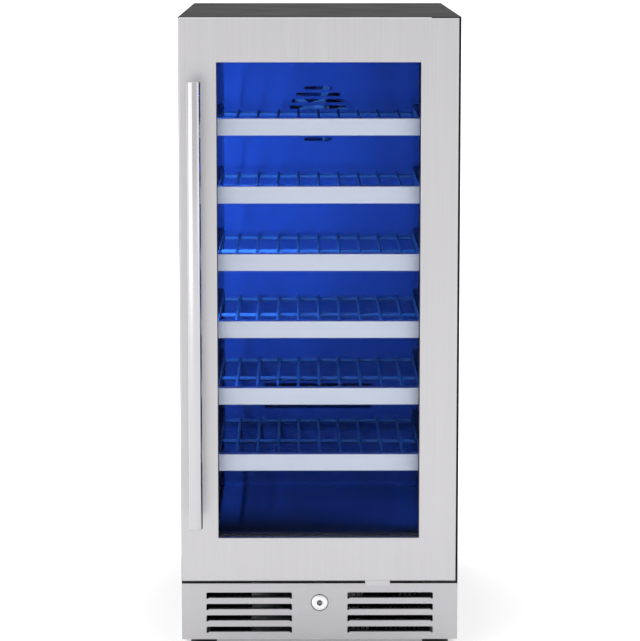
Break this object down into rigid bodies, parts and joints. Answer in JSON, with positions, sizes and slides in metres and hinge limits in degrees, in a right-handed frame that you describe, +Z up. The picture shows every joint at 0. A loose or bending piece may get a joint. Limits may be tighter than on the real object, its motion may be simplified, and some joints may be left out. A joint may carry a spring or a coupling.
{
  "type": "wine cooler",
  "caption": "Undercounter single-zone wine cooler with a stainless framed glass door, long bar handle, sliding wire racks, lit cavity and a louvred toe-kick with a lock.",
  "frame": {"origin": "on the floor, at the middle of the overall width and of the overall depth, handle included", "axes": "+Z up, +X to the right of a person who faces the door, +Y from the door towards the back"},
  "size_m": [0.378, 0.654, 0.867],
  "materials": {
    "cabinet_paint": "satin",
    "galvanised_sheet": "matte",
    "stainless": "satin",
    "stainless_grille": "satin",
    "stainless_bar": "satin",
    "rack_metal": "satin",
    "rack_wire_coat": "satin",
    "runner_steel": "satin",
    "liner_plastic": "matte",
    "door_plastic": "matte",
    "insulation": "matte",
    "clear_glass": "gloss",
    "spacer_metal": "satin",
    "seal_rubber": "matte",
    "lock_chrome": "polished",
    "plain_steel": "satin",
    "nylon": "matte",
    "compressor_paint": "satin",
    "coil_metal": "satin",
    "copper_line": "satin",
    "motor_plastic": "matte",
    "fan_plastic": "satin",
    "control_plastic": "gloss",
    "light_diffuser": "satin",
    "foot_plastic": "matte"
  },
  "bodies": {
    "cabinet": {"cabinet_left_side": "cabinet_paint", "cabinet_right_side": "cabinet_paint", "cabinet_top_panel": "cabinet_paint", "lower_crossmember": "cabinet_paint", "top_hinge_plate": "cabinet_paint", "bottom_hinge_plate": "cabinet_paint", "cabinet_back_panel": "galvanised_sheet", "rear_cover": "galvanised_sheet", "base_pan": "galvanised_sheet", "machine_bay_roof": "galvanised_sheet", "kick_grille": "stainless_grille", "rack_runners": "runner_steel", "inner_liner": "liner_plastic", "rear_duct_cover": "liner_plastic", "insulation_foam": "insulation", "lock_housing": "lock_chrome", "hinge_pins": "plain_steel", "hinge_screws": "plain_steel", "compressor": "compressor_paint", "condenser": "coil_metal", "evaporator": "coil_metal", "refrigerant_lines": "copper_line", "condenser_fan_motor": "motor_plastic", "evaporator_fan_motor": "motor_plastic", "electronics_box": "motor_plastic", "power_inlet": "motor_plastic", "control_panel": "control_plastic", "led_strips": "light_diffuser"},
    "door": {"door_skin": "stainless", "door_liner": "door_plastic", "door_foam": "insulation", "outer_glass": "clear_glass", "inner_glass": "clear_glass", "glass_spacer": "spacer_metal", "door_gasket": "seal_rubber", "door_stop_tab": "stainless", "hinge_blocks": "plain_steel", "hinge_bushes": "nylon", "handle_bar": "stainless_bar", "handle_posts": "stainless_bar"},
    "rack_1": {"rack_front_1": "rack_metal", "rack_wire_1": "rack_wire_coat"},
    "rack_2": {"rack_front_2": "rack_metal", "rack_wire_2": "rack_wire_coat"},
    "rack_3": {"rack_front_3": "rack_metal", "rack_wire_3": "rack_wire_coat"},
    "rack_4": {"rack_front_4": "rack_metal", "rack_wire_4": "rack_wire_coat"},
    "rack_5": {"rack_front_5": "rack_metal", "rack_wire_5": "rack_wire_coat"},
    "rack_6": {"rack_front_6": "rack_metal", "rack_wire_6": "rack_wire_coat"},
    "lock_plug": {"lock_core": "lock_chrome"},
    "lock_latch": {"lock_bolt": "cabinet_paint"},
    "levelling_foot_front_left": {"foot_front_left": "foot_plastic"},
    "levelling_foot_front_right": {"foot_front_right": "foot_plastic"},
    "levelling_foot_rear_left": {"foot_rear_left": "foot_plastic"},
    "levelling_foot_rear_right": {"foot_rear_right": "foot_plastic"},
    "inner_fan": {"evaporator_fan_blade": "fan_plastic"},
    "outer_fan": {"condenser_fan_blade": "fan_plastic"}
  },
  "joints": [
    {"name": "door_hinge", "type": "hinge", "parent": "cabinet", "child": "door", "pos_m": [0.1735, -0.245, 0.1085], "axis": [0, 0, 1], "range_deg": [0, 115]},
    {"name": "rack_1_slide", "type": "slide", "parent": "cabinet", "child": "rack_1", "axis": [0, -1, 0], "range_m": [0, 0.02]},
    {"name": "rack_2_slide", "type": "slide", "parent": "cabinet", "child": "rack_2", "axis": [0, -1, 0], "range_m": [0, 0.02]},
    {"name": "rack_3_slide", "type": "slide", "parent": "cabinet", "child": "rack_3", "axis": [0, -1, 0], "range_m": [0, 0.02]},
    {"name": "rack_4_slide", "type": "slide", "parent": "cabinet", "child": "rack_4", "axis": [0, -1, 0], "range_m": [0, 0.02]},
    {"name": "rack_5_slide", "type": "slide", "parent": "cabinet", "child": "rack_5", "axis": [0, -1, 0], "range_m": [0, 0.02]},
    {"name": "rack_6_slide", "type": "slide", "parent": "cabinet", "child": "rack_6", "axis": [0, -1, 0], "range_m": [0, 0.02]},
    {"name": "lock_turn", "type": "hinge", "parent": "cabinet", "child": "lock_plug", "pos_m": [0, -0.215, 0.067], "axis": [0, -1, 0], "range_deg": [0, 90]},
    {"name": "bolt_lift", "type": "slide", "parent": "cabinet", "child": "lock_latch", "axis": [0, 0, 1], "range_m": [0, 0.008]},
    {"name": "foot_front_left_screw", "type": "slide", "parent": "cabinet", "child": "levelling_foot_front_left", "axis": [0, 0, -1], "range_m": [0, 0.0095]},
    {"name": "foot_front_right_screw", "type": "slide", "parent": "cabinet", "child": "levelling_foot_front_right", "axis": [0, 0, -1], "range_m": [0, 0.0095]},
    {"name": "foot_rear_left_screw", "type": "slide", "parent": "cabinet", "child": "levelling_foot_rear_left", "axis": [0, 0, -1], "range_m": [0, 0.0095]},
    {"name": "foot_rear_right_screw", "type": "slide", "parent": "cabinet", "child": "levelling_foot_rear_right", "axis": [0, 0, -1], "range_m": [0, 0.0095]},
    {"name": "inner_fan_spin", "type": "hinge", "parent": "cabinet", "child": "inner_fan", "pos_m": [0, 0.18, 0.709], "axis": [0, 1, 0], "continuous": true},
    {"name": "outer_fan_spin", "type": "hinge", "parent": "cabinet", "child": "outer_fan", "pos_m": [0.08, -0.145, 0.058], "axis": [0, 1, 0], "continuous": true}
  ],
  "couplings": [
    {"joint": "lock_turn", "follows": "bolt_lift", "rad_per_m": 196.3}
  ]
}
